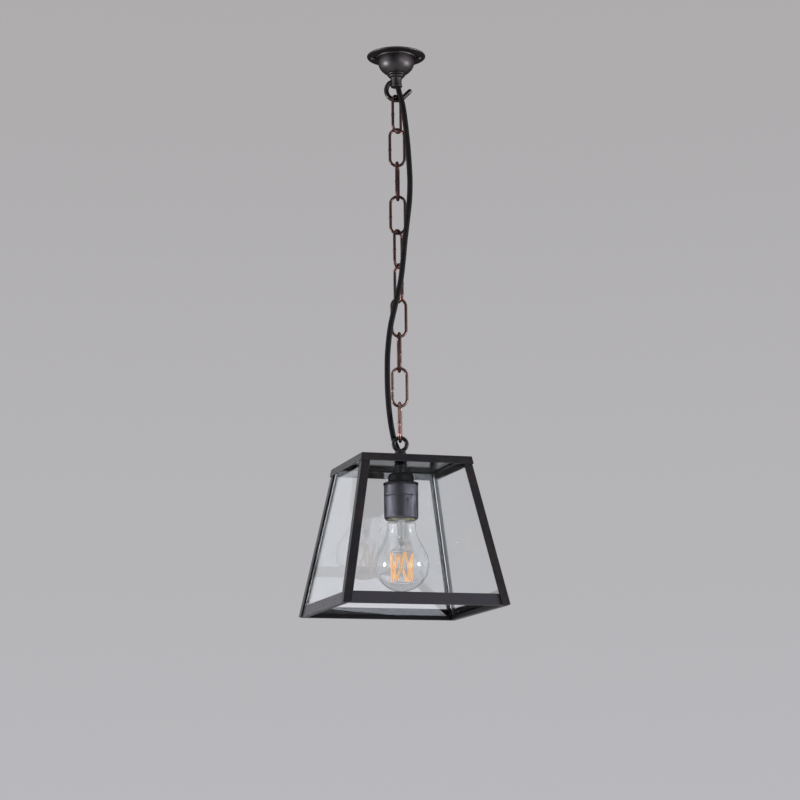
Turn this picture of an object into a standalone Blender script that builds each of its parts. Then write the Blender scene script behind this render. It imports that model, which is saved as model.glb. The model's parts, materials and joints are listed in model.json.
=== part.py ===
"""Hanging glass lantern on a chain, with its ceiling plate, flex, lampholder and lamp.

Metres, +Z up. The origin is the centre of the ceiling plate's upper face, so the ceiling
is z = 0 and everything hangs below it. The glass box is square to X and Y. The hook, the
chain, the loop and the flex are turned a little about Z against it, on an empty of their own.
"""

import math

import bmesh
import bpy
from mathutils import Matrix, Vector

# driving dimensions
CLEARANCE = 0.0003  # between faces that touch
CHAIN_TURN = math.radians(-17.2)  # of the chain against the glass box
LANTERN_TOP = -0.470
BODY_HEIGHT = 0.1636
FRAME_TOP_HALF = 0.0606  # half the width of the post frame, at the lantern's top
FRAME_BOTTOM_HALF = 0.0923
CAP_HALF = 0.0619
CAP_SKIRT = 0.0083
SHEET = 0.0010
POST_FLANGE = 0.0095
POST_THICKNESS = 0.0015
RAIL_HEIGHT = 0.0127
RAIL_LIP = 0.0044
RAIL_SHEET = 0.0012
GLASS_THICKNESS = 0.0030

LINK_COUNT = 10
LINK_WIRE = 0.0016  # radius
LINK_WIDTH = 0.0195
LINK_ANGLES = (57, 0, 83, 0, 60, 120, 15, 97, 8, 84)  # each link's plane, in degrees

HOOK_WIRE = 0.0027  # radius
HOOK_CENTRE = -0.0408
HOOK_RADIUS = 0.0115
LOOP_WIRE = 0.0022  # radius
LOOP_RADIUS = 0.0072
LOOP_CENTRE = LANTERN_TOP + 0.0210

FLEX_RADIUS = 0.0031
FLEX_BORE = FLEX_RADIUS + 0.0004
FLEX_STEP = 0.0090  # between the points of its line

PLATE_RADIUS = 0.03325
SCREW_OFFSET = 0.0260
SCREW_SHANK = 0.00175  # radius
SCREW_HEAD = 0.0029  # radius
SCREW_END = 0.0058  # above the ceiling

STEM_RADIUS = 0.0049
STEM_BORE = 0.0036
HOLDER_RADIUS = 0.01875
HOLDER_WALL = 0.0012
BULB_RADIUS = 0.0300
BULB_MIDDLE = LANTERN_TOP - 0.1120
CAP_BRASS_RADIUS = 0.01305
FILAMENTS = 8

LEAN = (FRAME_BOTTOM_HALF - FRAME_TOP_HALF) / BODY_HEIGHT  # outward for each metre down
LEAN_ANGLE = math.atan(LEAN)

# finishes: colour, metallic, roughness
DARK_METAL = ((0.045, 0.043, 0.046), 0.9, 0.42)
BRONZE = ((0.060, 0.056, 0.058), 0.9, 0.30)
COPPER = ((0.170, 0.085, 0.062), 0.9, 0.38)
GUNMETAL = ((0.110, 0.108, 0.120), 0.9, 0.35)
STEEL = ((0.420, 0.420, 0.430), 1.0, 0.35)
BRASS = ((0.600, 0.420, 0.150), 1.0, 0.30)
RUBBER = ((0.030, 0.031, 0.036), 0.0, 0.60)
GLASS = ((0.780, 0.830, 0.820), 0.0, 0.05)
CERAMIC = ((0.750, 0.730, 0.690), 0.0, 0.30)
BLACK_GLASS = ((0.020, 0.020, 0.025), 0.0, 0.15)
PHOSPHOR = ((0.900, 0.620, 0.120), 0.0, 0.50)


def clear_scene():
    for thing in list(bpy.data.objects):
        bpy.data.objects.remove(thing, do_unlink=True)


def new_collection(name):
    group = bpy.data.collections.new(name)
    bpy.context.scene.collection.children.link(group)
    return group


clear_scene()
LANTERN = new_collection("hanging_lantern")
CUTTERS = new_collection("cutters")

chain_turn = bpy.data.objects.new("chain_turn", None)
chain_turn.rotation_euler = (0, 0, CHAIN_TURN)
LANTERN.objects.link(chain_turn)


def finish_material(name, finish):
    colour, metallic, roughness = finish
    material = bpy.data.materials.new(name)
    material.use_nodes = True
    shader = material.node_tree.nodes["Principled BSDF"]
    shader.inputs["Base Color"].default_value = (*colour, 1)
    shader.inputs["Metallic"].default_value = metallic
    shader.inputs["Roughness"].default_value = roughness
    return material


def add_object(name, data, finish=None, parent=None):
    """A new object: a part if it has a finish, and a cutter if it has none."""
    thing = bpy.data.objects.new(name, data)
    thing.parent = parent
    if finish:
        LANTERN.objects.link(thing)
        data.materials.clear()
        data.materials.append(finish_material(name, finish))
    else:
        CUTTERS.objects.link(thing)
        thing.hide_render = True
        thing.display_type = "WIRE"
    return thing


def mesh_from(name, make):
    """A mesh filled in by make(bmesh), smooth on its round parts."""
    shape = bmesh.new()
    make(shape)
    mesh = bpy.data.meshes.new(name)
    shape.to_mesh(mesh)
    shape.free()
    return mesh


def soften(mesh):
    mesh.shade_smooth()
    mesh.set_sharp_from_angle(angle=math.radians(35))


def turned(name, profile, finish=None, parent=None, at=(0, 0, 0), steps=32):
    """A profile of (radius, height) turned round Z, listed down its outer side."""

    def outline(shape):
        points = [shape.verts.new((r, 0, z)) for r, z in profile]
        for a, b in zip(points, points[1:]):
            shape.edges.new((a, b))
        if profile[0][0] > 0 and profile[-1][0] > 0:
            shape.edges.new((points[-1], points[0]))

    thing = add_object(name, mesh_from(name, outline), finish, parent)
    thing.location = at
    screw = thing.modifiers.new("turn", "SCREW")
    screw.axis = "Z"
    screw.steps = steps
    screw.render_steps = steps
    screw.use_merge_vertices = True
    screw.merge_threshold = 0.00001
    screw.use_smooth_shade = True
    return thing


def wire(name, points, radius, finish=None, parent=None, closed=False):
    """A curve through the points, one straight run to the next, with a round section."""
    curve = bpy.data.curves.new(name, "CURVE")
    curve.dimensions = "3D"
    spline = curve.splines.new("POLY")
    spline.points.add(len(points) - 1)
    for knot, point in zip(spline.points, points):
        knot.co = (*point, 1)
    spline.use_cyclic_u = closed
    curve.bevel_depth = radius
    curve.bevel_resolution = 2
    curve.use_fill_caps = not closed
    return add_object(name, curve, finish, parent)


def made_solid(thing, finish=None):
    """The same piece with its curve turned into a mesh whose caps are welded on."""
    bpy.context.view_layer.update()
    graph = bpy.context.evaluated_depsgraph_get()
    mesh = bpy.data.meshes.new_from_object(thing.evaluated_get(graph))
    place, parent, name = thing.matrix_world.copy(), thing.parent, thing.name
    curve = thing.data
    bpy.data.objects.remove(thing, do_unlink=True)
    bpy.data.curves.remove(curve)
    shape = bmesh.new()
    shape.from_mesh(mesh)
    bmesh.ops.remove_doubles(shape, verts=shape.verts, dist=0.00001)
    bmesh.ops.recalc_face_normals(shape, faces=shape.faces)
    shape.to_mesh(mesh)
    shape.free()
    solid = add_object(name, mesh, finish, parent)
    solid.matrix_world = place
    return solid


def boolean(thing, other, operation="DIFFERENCE"):
    cut = thing.modifiers.new(f"{operation.lower()}_{other.name}", "BOOLEAN")
    cut.operation = operation
    cut.solver = "EXACT"
    cut.object = other


def outline_plate(name, outline, thickness):
    """A flat outline in XY, thick along Z about its own plane, as a mesh."""
    curve = bpy.data.curves.new(name, "CURVE")
    curve.dimensions = "2D"
    curve.fill_mode = "BOTH"
    curve.extrude = thickness / 2
    spline = curve.splines.new("POLY")
    spline.points.add(len(outline) - 1)
    for knot, (x, y) in zip(spline.points, outline):
        knot.co = (x, y, 0, 1)
    spline.use_cyclic_u = True
    holder = add_object(name, curve)
    solid = made_solid(holder)
    mesh = solid.data
    bpy.data.objects.remove(solid, do_unlink=True)
    return mesh


def rod(name, radius, low, high, finish=None, parent=None, sides=24, at=(0, 0)):
    """An upright cylinder from low to high, or a prism if it has few sides."""

    def shape_it(shape):
        bmesh.ops.create_cone(
            shape, cap_ends=True, segments=sides, radius1=radius, radius2=radius, depth=high - low
        )

    mesh = mesh_from(name, shape_it)
    soften(mesh)
    thing = add_object(name, mesh, finish, parent)
    thing.location = (*at, (low + high) / 2)
    return thing


def smooth_line(knots, step):
    """Evenly spaced points on a Catmull-Rom curve through the knots."""
    knots = [Vector(k) for k in knots]
    ends = [2 * knots[0] - knots[1], *knots, 2 * knots[-1] - knots[-2]]
    fine = []
    for a, b, c, d in zip(ends, ends[1:], ends[2:], ends[3:]):
        for i in range(24):
            t = i / 24
            fine.append(
                0.5
                * (
                    2 * b
                    + (c - a) * t
                    + (2 * a - 5 * b + 4 * c - d) * t**2
                    + (3 * b - a - 3 * c + d) * t**3
                )
            )
    fine.append(knots[-1])
    length = sum((b - a).length for a, b in zip(fine, fine[1:]))
    count = round(length / step)
    points, walked = [fine[0]], 0
    for a, b in zip(fine, fine[1:]):
        stretch = (b - a).length
        while len(points) < count and walked + stretch >= len(points) * length / count:
            along = (len(points) * length / count - walked) / stretch
            points.append(a.lerp(b, along))
        walked += stretch
    points.append(fine[-1])
    return points


# the flex's route: out of the plate's neck, in front of the hook and the chain from its
# right to its left, and down through the loop, the stem and into the lampholder
FLEX_ROUTE = [
    (0.0018, -0.0018, -0.0160),
    (0.0018, -0.0018, -0.0260),
    (0.0018, -0.0019, -0.0350),
    (0.0023, -0.0031, -0.0405),
    (0.0034, -0.0054, -0.0465),
    (0.0053, -0.0077, -0.0540),
    (0.0076, -0.0094, -0.0660),
    (0.0095, -0.0105, -0.0820),
    (0.0120, -0.0112, -0.1090),
    (0.0137, -0.0116, -0.1390),
    (0.0140, -0.0119, -0.1560),
    (0.0130, -0.0123, -0.1760),
    (0.0103, -0.0127, -0.1990),
    (0.0075, -0.0131, -0.2220),
    (0.0052, -0.0134, -0.2450),
    (0.0020, -0.0134, -0.2690),
    (-0.0038, -0.0130, -0.2940),
    (-0.0096, -0.0125, -0.3200),
    (-0.0127, -0.0120, -0.3470),
    (-0.0134, -0.0115, -0.3690),
    (-0.0132, -0.0102, -0.3900),
    (-0.0121, -0.0072, -0.4090),
    (-0.0104, -0.0022, -0.4240),
    (-0.0086, 0.0028, -0.4345),
    (-0.0070, 0.0060, -0.4420),
    (-0.0052, 0.0065, -0.4480),
    (-0.0029, 0.0044, -0.4540),
    (-0.0008, 0.0013, -0.4600),
    (0.0000, 0.0000, -0.4655),
    (0.0000, 0.0000, -0.4770),
    (0.0000, 0.0000, -0.4870),
]


def flex_cable():
    points = smooth_line(FLEX_ROUTE, FLEX_STEP)
    wire("flex_cable", points, FLEX_RADIUS, RUBBER, chain_turn)


def flex_cutter(name):
    """The flex's own path, a little fatter, for the holes that it runs through."""
    first, *middle, last = smooth_line(FLEX_ROUTE, FLEX_STEP)
    high, low = first + Vector((0, 0, 0.020)), last - Vector((0, 0, 0.004))
    return made_solid(wire(name, [high, *middle, low], FLEX_BORE, parent=chain_turn))


def arc(centre, radius, start, end, count):
    """Points of (x, z) on an arc, by angle in degrees from +X."""
    for i in range(count + 1):
        turn = math.radians(start + (end - start) * i / count)
        yield centre[0] + radius * math.cos(turn), centre[1] + radius * math.sin(turn)


HOOK_POCKET = (-0.0034, -0.0304)  # the end of the hook's wire, inside the neck


def hook_line():
    """The hook's wire: out of the neck, round under it, and up into a straight tip."""
    ring = list(arc((0, HOOK_CENTRE), HOOK_RADIUS, 128, 318, 18))
    tip = (0.0168, -0.0404)
    points = [HOOK_POCKET, (-0.0055, -0.0310), *ring, tip]
    return [(x, 0, z) for x, z in points]


def ceiling_hook():
    wire("ceiling_hook", hook_line(), HOOK_WIRE, BRONZE, chain_turn)


def ceiling_plate():
    """A spun cup on a flange, hollow behind, that narrows to a neck with two holes in it."""
    inside = [
        (0.0, -0.0220),
        (0.0068, -0.0212),
        (0.0112, -0.0186),
        (0.0152, -0.0148),
        (0.0180, -0.0100),
        (0.0190, -0.0060),
        (0.0192, 0.0),
    ]
    flange = [
        (PLATE_RADIUS - 0.0003, 0.0),
        (PLATE_RADIUS, -0.0009),
        (PLATE_RADIUS - 0.0008, -0.0017),
        (0.0228, -0.0020),
        (0.0225, -0.0032),
        (0.0217, -0.0037),
        (0.0209, -0.0033),
    ]
    cup = [
        (0.0206, -0.0050),
        (0.0204, -0.0085),
        (0.0196, -0.0125),
        (0.0174, -0.0163),
        (0.0144, -0.0192),
        (0.0118, -0.0208),
        (0.0120, -0.0214),
        (0.0112, -0.0221),
        (0.0096, -0.0232),
        (0.0088, -0.0246),
        (0.0091, -0.0253),
        (0.0080, -0.0262),
        (0.0070, -0.0285),
        (0.0068, -0.0348),
        (0.0072, -0.0357),
        (0.0069, -0.0370),
        (0.0, -0.0370),
    ]
    plate = turned("ceiling_plate", inside + flange + cup, BRONZE, chain_turn)
    boolean(plate, flex_cutter("plate_wireway"))
    boolean(plate, made_solid(
        wire("hook_socket", hook_socket_line(), HOOK_WIRE + CLEARANCE, parent=chain_turn)
    ))
    for side in (-1, 1):
        hole = rod(f"plate_hole_{side}", SCREW_SHANK + CLEARANCE, -0.006, 0.004,
                   parent=chain_turn, sides=16, at=(side * SCREW_OFFSET, 0))
        boolean(plate, hole)


def hook_socket_line():
    """The hook's first stretch, drawn a little further in, for the hole it is held by."""
    first, second, *rest = [Vector(p) for p in hook_line()]
    further = first + (first - second).normalized() * CLEARANCE
    return [further, second, *rest[:3]]


def plate_screws():
    """Short round-headed machine screws, up through the flange into the ceiling's strap."""
    head_top = -0.0021 - CLEARANCE
    for side, name in ((-1, "plate_screw_left"), (1, "plate_screw_right")):
        profile = [
            (0.0, SCREW_END),
            (SCREW_SHANK * 0.7, SCREW_END),
            (SCREW_SHANK, SCREW_END - 0.0005),
            (SCREW_SHANK, head_top),
            (SCREW_HEAD, head_top),
            (SCREW_HEAD, head_top - 0.0006),
            (SCREW_HEAD * 0.72, head_top - 0.0019),
            (SCREW_HEAD * 0.35, head_top - 0.0024),
            (0.0, head_top - 0.0025),
        ]
        turned(name, profile, BRONZE, chain_turn, (side * SCREW_OFFSET, 0, 0), steps=16)


# the chain hangs from the hook's wire down to the loop's wire, and shares the height evenly
HOOK_TOP = HOOK_CENTRE - HOOK_RADIUS + HOOK_WIRE
LOOP_UNDER = LOOP_CENTRE + LOOP_RADIUS - LOOP_WIRE
LINK_PITCH = (HOOK_TOP + CLEARANCE - LOOP_UNDER) / LINK_COUNT
LINK_INNER = LINK_PITCH + CLEARANCE


def chain_link(number):
    """A long round-ended link, with its origin on the wire that it hangs from."""
    held_by = HOOK_WIRE if number == 1 else LINK_WIRE
    pivot = HOOK_TOP - (number - 1) * LINK_PITCH - held_by
    bend = LINK_WIDTH / 2 - LINK_WIRE
    top = held_by + CLEARANCE + LINK_WIRE - bend
    bottom = top - (LINK_INNER + 2 * LINK_WIRE - 2 * bend)
    outline = [*arc((0, top), bend, 0, 180, 10), *arc((0, bottom), bend, 180, 360, 10)]
    name = f"chain_link_{number:02d}"
    link = wire(name, [(x, 0, z) for x, z in outline], LINK_WIRE, COPPER, chain_turn, closed=True)
    link.location = (0, 0, pivot)
    link.rotation_euler = (0, 0, math.radians(LINK_ANGLES[number - 1]))


def hanging_loop():
    """An eye on a turned foot, with the flex's hole through both."""
    foot = [
        (0.0, LANTERN_TOP + 0.0150),
        (0.0040, LANTERN_TOP + 0.0142),
        (0.0062, LANTERN_TOP + 0.0118),
        (0.0066, LANTERN_TOP + 0.0095),
        (0.0062, LANTERN_TOP + 0.0070),
        (0.0066, LANTERN_TOP + 0.0040),
        (0.0075, LANTERN_TOP + 0.0018),
        (0.0075, LANTERN_TOP + CLEARANCE),
        (0.0, LANTERN_TOP + CLEARANCE),
    ]
    loop = turned("hanging_loop", foot, DARK_METAL, chain_turn, steps=24)
    ring = wire(
        "loop_eye",
        [(x, 0, z) for x, z in arc((0, LOOP_CENTRE), LOOP_RADIUS, 0, 345, 23)],
        LOOP_WIRE,
        parent=chain_turn,
        closed=True,
    )
    boolean(loop, made_solid(ring), "UNION")
    boolean(loop, flex_cutter("loop_wireway"))
    thread = rod("loop_thread", STEM_RADIUS + CLEARANCE, LANTERN_TOP - 0.002,
                 LANTERN_TOP + 0.0052, parent=chain_turn)
    boolean(loop, thread)


def frame_half(height):
    """Half the width of the post frame at a height, measured from the lantern's top."""
    return FRAME_TOP_HALF - LEAN * height


def top_cap():
    """A square sheet cap with a sloping skirt, open below."""

    def pan(shape):
        flare = CAP_SKIRT * LEAN
        bmesh.ops.create_cone(
            shape,
            cap_ends=True,
            segments=4,
            radius1=(CAP_HALF + flare) * math.sqrt(2),
            radius2=CAP_HALF * math.sqrt(2),
            depth=CAP_SKIRT,
        )
        lowest = [f for f in shape.faces if f.calc_center_median().z < -CAP_SKIRT / 2 + 1e-6]
        bmesh.ops.delete(shape, geom=lowest, context="FACES_ONLY")
        bmesh.ops.rotate(shape, verts=shape.verts, matrix=Matrix.Rotation(math.pi / 4, 3, "Z"))

    cap = add_object("top_cap", mesh_from("top_cap", pan), DARK_METAL)
    cap.location = (0, 0, LANTERN_TOP - CAP_SKIRT / 2)
    wall = cap.modifiers.new("sheet", "SOLIDIFY")
    wall.thickness = SHEET
    wall.offset = -1
    wall.use_even_offset = True
    hole = rod("cap_hole", STEM_RADIUS + CLEARANCE, LANTERN_TOP - 0.004, LANTERN_TOP + 0.004)
    boolean(cap, hole)


CORNERS = ("front_right", "back_right", "back_left", "front_left")
SIDES = ("right", "back", "left", "front")


def corner_posts():
    """Four angle irons that lean out with the corners of the glass box."""
    high = -SHEET - CLEARANCE
    low = -BODY_HEIGHT + 0.0008
    flange, wall = POST_FLANGE, POST_THICKNESS
    outline = [
        (0, 0), (0, -flange), (-wall, -flange), (-wall, -wall), (-flange, -wall), (-flange, 0)
    ]
    mesh = outline_plate("corner_post", outline, high - low)
    shear = Matrix.Identity(4)
    shear[0][2] = shear[1][2] = -LEAN
    mesh.transform(shear)
    middle = (high + low) / 2
    for i, corner in enumerate(CORNERS):
        post = add_object(f"corner_post_{corner}", mesh.copy(), DARK_METAL)
        turn = Matrix.Rotation(math.radians(90 * i - 90), 4, "Z")
        half = frame_half(middle)
        post.matrix_world = turn @ Matrix.Translation((half, half, LANTERN_TOP + middle))
        soften(post.data)


RAIL_SET_BACK = POST_THICKNESS + CLEARANCE
GLASS_SET_BACK = RAIL_SET_BACK + RAIL_SHEET + CLEARANCE
LIP_SET_BACK = GLASS_SET_BACK + GLASS_THICKNESS / math.cos(LEAN_ANGLE) + CLEARANCE


def bottom_rails():
    """Folded channels round the open bottom, mitred into each other at the corners."""
    low = -BODY_HEIGHT
    floor = low + RAIL_SHEET
    section = [
        (frame_half(low) - RAIL_SET_BACK, low),
        (frame_half(low + RAIL_HEIGHT) - RAIL_SET_BACK, low + RAIL_HEIGHT),
        (frame_half(low + RAIL_HEIGHT) - RAIL_SET_BACK - RAIL_SHEET, low + RAIL_HEIGHT),
        (frame_half(floor) - RAIL_SET_BACK - RAIL_SHEET, floor),
        (frame_half(floor) - LIP_SET_BACK, floor),
        (frame_half(low + RAIL_LIP) - LIP_SET_BACK, low + RAIL_LIP),
        (frame_half(low + RAIL_LIP) - LIP_SET_BACK - RAIL_SHEET, low + RAIL_LIP),
        (frame_half(low) - LIP_SET_BACK - RAIL_SHEET, low),
    ]
    for i, side in enumerate(SIDES):
        mesh = outline_plate("bottom_rail", section, 2)
        # stand the section up so that X stays outward, Y turns to Z, and the length lies on Y
        mesh.transform(Matrix.Rotation(math.radians(90), 4, "X"))
        for corner in mesh.vertices:
            corner.co.y = math.copysign(corner.co.x - 0.7 * CLEARANCE, corner.co.y)
        rail = add_object(f"bottom_rail_{side}", mesh, DARK_METAL)
        rail.location = (0, 0, LANTERN_TOP)
        rail.rotation_euler = (0, 0, math.radians(90 * i))
        soften(mesh)


def glass_panes():
    """Four flat trapezoids of glass that stand in the rails, behind the posts."""
    high = -SHEET - 0.0010
    low = -BODY_HEIGHT + RAIL_SHEET + CLEARANCE
    inset = LIP_SET_BACK + 0.0001

    def edge(height):
        return frame_half(height) - inset

    slant = (high - low) / math.cos(LEAN_ANGLE)
    outline = [
        (-edge(low), -slant / 2), (edge(low), -slant / 2),
        (edge(high), slant / 2), (-edge(high), slant / 2),
    ]
    middle = (high + low) / 2
    out = frame_half(middle) - GLASS_SET_BACK - GLASS_THICKNESS / 2 / math.cos(LEAN_ANGLE)
    for i, side in enumerate(SIDES):
        mesh = outline_plate("glass_pane", outline, GLASS_THICKNESS)
        pane = add_object(f"glass_pane_{side}", mesh, GLASS)
        upright = Matrix.Rotation(math.radians(90) - LEAN_ANGLE, 4, "X")
        place = Matrix.Translation((0, -out, LANTERN_TOP + middle))
        # drawn for the front, then turned to its own side
        pane.matrix_world = Matrix.Rotation(math.radians(90 * i + 90), 4, "Z") @ place @ upright


def stem():
    """The threaded tube that clamps loop, cap and lampholder together, and its fittings."""
    top = LANTERN_TOP + 0.0049
    bottom = LANTERN_TOP - 0.0182
    turned("stem_tube", [
        (STEM_BORE, top), (STEM_RADIUS, top), (STEM_RADIUS, bottom), (STEM_BORE, bottom)
    ], STEEL, steps=24)
    inner = STEM_RADIUS + CLEARANCE
    nut_top = LANTERN_TOP - SHEET - CLEARANCE
    nut = rod("stem_nut", 0.0071, nut_top - 0.0026, nut_top, DARK_METAL, sides=6)
    boolean(nut, rod("stem_nut_bore", inner, nut_top - 0.006, nut_top + 0.003))
    tube_top = nut_top - 0.0026 - CLEARANCE
    tube_bottom = LANTERN_TOP - 0.0110
    turned("spacer_tube", [
        (inner, tube_top), (0.0062, tube_top), (0.0062, tube_bottom), (inner, tube_bottom)
    ], GUNMETAL, steps=24)
    lock_top = LANTERN_TOP - 0.0128
    lock = rod("lock_nut", 0.0075, lock_top - 0.0026, lock_top, STEEL, sides=6)
    boolean(lock, rod("lock_nut_bore", inner, lock_top - 0.006, lock_top + 0.003))


def from_top(profile):
    """A profile whose heights are given from the lantern's top."""
    return [(r, LANTERN_TOP + z) for r, z in profile]


def lampholder():
    """Three metal shells round a ceramic core with its brass thread and contacts."""
    inner = STEM_RADIUS + CLEARANCE
    wall = HOLDER_WALL
    turned("holder_cap", from_top([
        (inner, -0.0113), (0.0075, -0.0113), (0.0110, -0.0120), (0.0133, -0.0134),
        (0.01425, -0.0152), (0.01425, -0.0212), (0.0150, -0.0222),
        (0.0150 - wall, -0.0222), (0.01425 - wall, -0.0210), (0.01425 - wall, -0.0155),
        (0.0123, -0.0143), (0.0105, -0.0132), (0.0075, -0.0125), (inner, -0.0125),
    ]), DARK_METAL)
    out, inside = HOLDER_RADIUS, HOLDER_RADIUS - wall
    turned("holder_upper_shell", from_top([
        (0.0122, -0.0225), (0.0180, -0.0225), (0.0190, -0.0230), (0.0193, -0.0238),
        (0.0192, -0.0248), (out, -0.0256), (out, -0.0372),
        (inside, -0.0372), (inside, -0.0238), (0.0122, -0.0237),
    ]), GUNMETAL)
    skirt = turned("holder_skirt", from_top([
        (inside, -0.0375), (out, -0.0375), (out, -0.0600), (0.0183, -0.0612), (0.0168, -0.0634),
        (0.0156, -0.0634), (0.0172, -0.0608), (inside, -0.0598),
    ]), GUNMETAL)
    across, height = 0.0067, LANTERN_TOP - 0.0436
    angle = CHAIN_TURN - math.acos(across / out)

    def sideways(name, radius, start, end, finish=None):
        """A short rod along the holder's radius, at the grub screw's place."""
        thing = rod(name, radius, 0, end - start, finish, sides=12)
        middle = (start + end) / 2
        thing.location = (middle * math.cos(angle), middle * math.sin(angle), height)
        thing.rotation_euler = (0, math.pi / 2, angle)
        return thing

    boolean(skirt, sideways("grub_hole", 0.0015, inside - 0.003, out + 0.003))
    sideways("holder_grub_screw", 0.0012, inside - 0.0010, out - 0.0002, BRONZE)

    turned("holder_core", from_top([
        (0.0, -0.0242), (0.0166, -0.0242), (0.0170, -0.0248), (0.0170, -0.0366),
        (0.0, -0.0366),
    ]), CERAMIC)
    turned("screw_shell", from_top([
        (0.0142, -0.0369), (0.0142, -0.0618), (0.0136, -0.0618), (0.0136, -0.0369),
    ]), BRASS)
    contact = add_box("centre_contact", (0.0060, 0.0040, 0.0005), (0, 0, -0.0372), BRASS)
    contact.rotation_euler = (0, 0, CHAIN_TURN)
    for side, name in ((-1, "neutral_terminal"), (1, "live_terminal")):
        add_box(name, (0.0050, 0.0060, 0.0052), (side * 0.0072, 0, -0.0213), BRASS)


def add_box(name, size, centre, finish):
    """A box of the given size, with its centre's height given from the lantern's top."""

    def cube(shape):
        bmesh.ops.create_cube(shape, size=1, matrix=Matrix.Diagonal((*size, 1)))

    box = add_object(name, mesh_from(name, cube), finish)
    x, y, z = centre
    box.location = (x, y, LANTERN_TOP + z)
    return box


def bulb_cap():
    """The screw cap: a contact, an insulator and a ridged brass shell."""
    ridges = [(0.0122, -0.0432)]
    pitch = 0.0036
    for i in range(4):
        top = -0.0440 - i * pitch
        ridges += [(CAP_BRASS_RADIUS, top - 0.0012), (CAP_BRASS_RADIUS - 0.0009, top - 0.0030)]
    skirt = [(0.0130, -0.0596), (0.0133, -0.0640), (0.0128, -0.0640), (0.0126, -0.0600)]
    inside = [(0.0117, -0.0590), (0.0117, -0.0438), (0.0114, -0.0432)]
    turned("bulb_cap", from_top(ridges + skirt + inside), BRASS)
    turned("bulb_insulator", from_top([
        (0.0, -0.0398), (0.0050, -0.0398), (0.0110, -0.0428), (0.0110, -0.0445), (0.0, -0.0445)
    ]), BLACK_GLASS, steps=24)
    turned("bulb_contact", from_top([
        (0.0, -0.0380), (0.0030, -0.0384), (0.0042, -0.0392), (0.0042, -0.0395), (0.0, -0.0395)
    ]), BRASS, steps=16)


def bulb_outline(inset):
    """The pear shape down its outer side, from the neck to the lowest point."""
    neck = [(0.0122, -0.0606), (0.0122, -0.0643), (0.0140, -0.0652), (0.0156, -0.0668),
            (0.0159, -0.0715), (0.0165, -0.0763), (0.0183, -0.0818), (0.0213, -0.0887),
            (0.0243, -0.0941)]
    ball = list(arc((0, BULB_MIDDLE - LANTERN_TOP), BULB_RADIUS - inset, 25, -90, 12))
    outline = [(r - inset, z) for r, z in neck] + ball[:-1]
    return [*outline, (0.0, ball[-1][1])]


def bulb_glass():
    """The thin glass, open at the neck inside the brass cap."""
    wall = 0.0009
    inside = reversed(bulb_outline(wall))
    turned("bulb_glass", from_top([*inside, *bulb_outline(0)]), GLASS)


def bulb_inside():
    """The glass stem, its two wires, and eight filaments in a zigzag ring round it."""
    turned("bulb_stem", from_top([
        (0.0, -0.0610), (0.0095, -0.0612), (0.0098, -0.0640), (0.0060, -0.0700),
        (0.0046, -0.0780), (0.0042, -0.0860), (0.0030, -0.0905), (0.0016, -0.0925),
        (0.0016, -0.1180), (0.0, -0.1190),
    ]), GLASS, steps=16)
    ring, apart = 0.0122, 0.12
    z_top, z_bottom = LANTERN_TOP - 0.0985, LANTERN_TOP - 0.1325
    step = math.tau / FILAMENTS

    def knot(turn, z):
        return Vector((ring * math.cos(turn), ring * math.sin(turn), z))

    for i in range(FILAMENTS):
        lean = apart if i % 2 else -apart
        upper = knot(2 * step * ((i + 1) // 2) - lean, z_top)
        lower = knot(2 * step * (i // 2) + step + lean, z_bottom)
        wire(f"led_filament_{i + 1}", [upper, lower], 0.0009, PHOSPHOR)
    for i, side in ((0, "live"), (2, "neutral")):
        low = knot(2 * step * i, z_top + 0.0014)
        middle = Vector((low.x * 0.55, low.y * 0.55, low.z + 0.0010))
        high = Vector((low.x * 0.36, low.y * 0.36, LANTERN_TOP - 0.0900))
        wire(f"lead_wire_{side}", [high, middle, low], 0.0004, STEEL)


ceiling_plate()
ceiling_hook()
plate_screws()
for number in range(1, LINK_COUNT + 1):
    chain_link(number)
flex_cable()
hanging_loop()
top_cap()
corner_posts()
bottom_rails()
glass_panes()
stem()
lampholder()
bulb_cap()
bulb_glass()
bulb_inside()
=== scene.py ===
import json
import math

import bmesh
import bpy
from mathutils import Matrix, Vector


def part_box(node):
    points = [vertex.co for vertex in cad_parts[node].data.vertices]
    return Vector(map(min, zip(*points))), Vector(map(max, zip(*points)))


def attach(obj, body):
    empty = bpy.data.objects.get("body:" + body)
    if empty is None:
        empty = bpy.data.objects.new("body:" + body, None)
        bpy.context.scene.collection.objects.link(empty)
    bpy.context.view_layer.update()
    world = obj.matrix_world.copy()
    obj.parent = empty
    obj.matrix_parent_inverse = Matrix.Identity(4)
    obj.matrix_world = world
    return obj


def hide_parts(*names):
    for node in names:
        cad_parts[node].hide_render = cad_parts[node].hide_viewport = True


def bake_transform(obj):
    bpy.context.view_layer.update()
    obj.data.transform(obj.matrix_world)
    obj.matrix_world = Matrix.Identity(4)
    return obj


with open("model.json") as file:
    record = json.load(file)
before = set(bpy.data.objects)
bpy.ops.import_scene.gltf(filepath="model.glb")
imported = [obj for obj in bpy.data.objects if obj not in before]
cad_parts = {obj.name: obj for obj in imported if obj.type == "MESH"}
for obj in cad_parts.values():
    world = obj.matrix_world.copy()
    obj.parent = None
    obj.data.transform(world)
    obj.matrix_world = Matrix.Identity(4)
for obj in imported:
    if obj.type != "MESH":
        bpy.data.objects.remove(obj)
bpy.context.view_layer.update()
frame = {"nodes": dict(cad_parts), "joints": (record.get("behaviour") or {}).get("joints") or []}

scene = bpy.context.scene
scene.view_settings.view_transform = "Standard"
chainTurn = math.radians(-17.2)  # the hook, chain and flex against the glass box
turnMatrix = Matrix.Rotation(chainTurn, 4, "Z")
print("frame loaded")


# small helpers

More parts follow.
